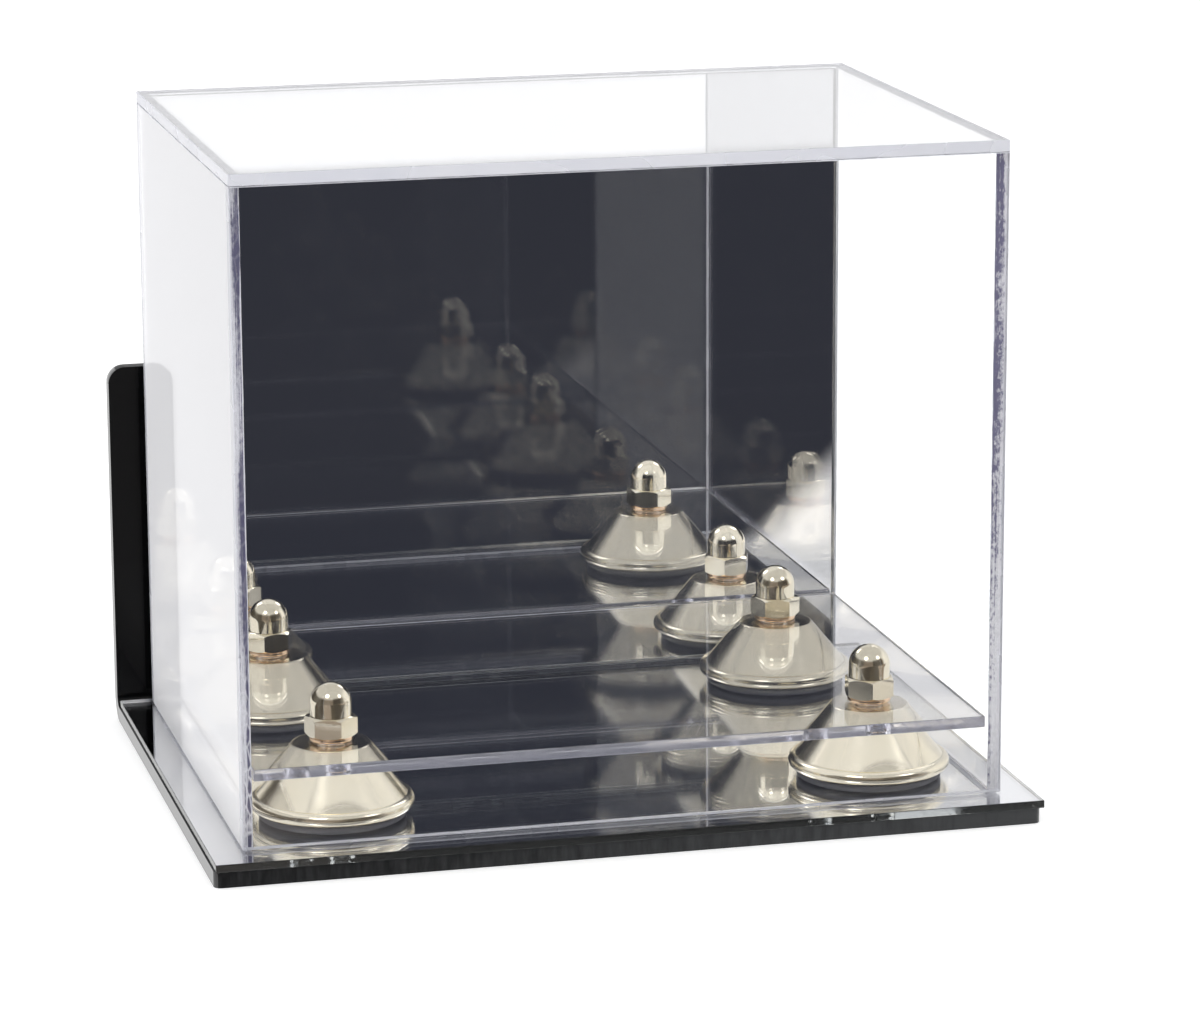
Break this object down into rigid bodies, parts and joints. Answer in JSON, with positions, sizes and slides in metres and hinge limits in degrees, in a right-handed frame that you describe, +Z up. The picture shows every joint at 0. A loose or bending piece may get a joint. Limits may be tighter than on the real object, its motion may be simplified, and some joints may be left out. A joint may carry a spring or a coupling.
{
  "type": "display case",
  "caption": "Clear lift-off box cover on a mirrored base, with gold risers under a clear platform, a mirrored back and a black L-shaped wall bracket.",
  "frame": {"origin": "middle of the underside of the whole case, in the plane of the table", "axes": "+X to the right seen from the front, +Y to the back towards the wall, +Z up"},
  "size_m": [0.2098, 0.1594, 0.1715],
  "materials": {
    "clear_acrylic": "polished clear acrylic, frosted where cemented",
    "mirror": "acrylic mirror, silvered behind",
    "black_acrylic": "gloss black acrylic, heat bent",
    "gold": "bright pale gold plate",
    "steel": "zinc-plated steel",
    "rubber": "dark grey pad"
  },
  "bodies": {
    "base": {"wall_bracket": "black_acrylic", "base_mirror": "mirror", "platform": "clear_acrylic", "riser_pad_front_left": "rubber", "riser_front_left": "gold", "riser_bolt_front_left": "steel", "riser_pad_front_right": "rubber", "riser_front_right": "gold", "riser_bolt_front_right": "steel", "riser_pad_rear_left": "rubber", "riser_rear_left": "gold", "riser_bolt_rear_left": "steel", "riser_pad_rear_right": "rubber", "riser_rear_right": "gold", "riser_bolt_rear_right": "steel"},
    "cover": {"cover_front": "clear_acrylic", "cover_rear": "clear_acrylic", "cover_left": "clear_acrylic", "cover_right": "clear_acrylic", "cover_top": "clear_acrylic", "back_mirror": "mirror"},
    "washer_front_left": {"washer_front_left": "gold"},
    "nut_front_left": {"acorn_nut_front_left": "gold"},
    "washer_front_right": {"washer_front_right": "gold"},
    "nut_front_right": {"acorn_nut_front_right": "gold"},
    "washer_rear_left": {"washer_rear_left": "gold"},
    "nut_rear_left": {"acorn_nut_rear_left": "gold"},
    "washer_rear_right": {"washer_rear_right": "gold"},
    "nut_rear_right": {"acorn_nut_rear_right": "gold"}
  },
  "joints": [
    {"name": "cover_lift", "type": "slide", "parent": "base", "child": "cover", "axis": [0, 0, 1], "range_m": [0, 0.175]},
    {"name": "nut_turn_front_left", "type": "hinge", "parent": "base", "child": "washer_front_left", "pos_m": [-0.06935, -0.0438, 0.0254], "axis": [0, 0, 1], "range_deg": [0, 2160]},
    {"name": "nut_rise_front_left", "type": "slide", "parent": "washer_front_left", "child": "nut_front_left", "axis": [0, 0, 1], "range_m": [0, 0.00763]},
    {"name": "nut_turn_front_right", "type": "hinge", "parent": "base", "child": "washer_front_right", "pos_m": [0.06965, -0.0438, 0.0254], "axis": [0, 0, 1], "range_deg": [0, 2160]},
    {"name": "nut_rise_front_right", "type": "slide", "parent": "washer_front_right", "child": "nut_front_right", "axis": [0, 0, 1], "range_m": [0, 0.00763]},
    {"name": "nut_turn_rear_left", "type": "hinge", "parent": "base", "child": "washer_rear_left", "pos_m": [-0.06935, 0.0418, 0.0254], "axis": [0, 0, 1], "range_deg": [0, 2160]},
    {"name": "nut_rise_rear_left", "type": "slide", "parent": "washer_rear_left", "child": "nut_rear_left", "axis": [0, 0, 1], "range_m": [0, 0.00763]},
    {"name": "nut_turn_rear_right", "type": "hinge", "parent": "base", "child": "washer_rear_right", "pos_m": [0.06965, 0.0418, 0.0254], "axis": [0, 0, 1], "range_deg": [0, 2160]},
    {"name": "nut_rise_rear_right", "type": "slide", "parent": "washer_rear_right", "child": "nut_rear_right", "axis": [0, 0, 1], "range_m": [0, 0.00763]}
  ],
  "couplings": [
    {"joint": "nut_rise_front_left", "follows": "nut_turn_front_left", "m_per_rad": 0.00020213},
    {"joint": "nut_rise_front_right", "follows": "nut_turn_front_right", "m_per_rad": 0.00020213},
    {"joint": "nut_rise_rear_left", "follows": "nut_turn_rear_left", "m_per_rad": 0.00020213},
    {"joint": "nut_rise_rear_right", "follows": "nut_turn_rear_right", "m_per_rad": 0.00020213}
  ]
}
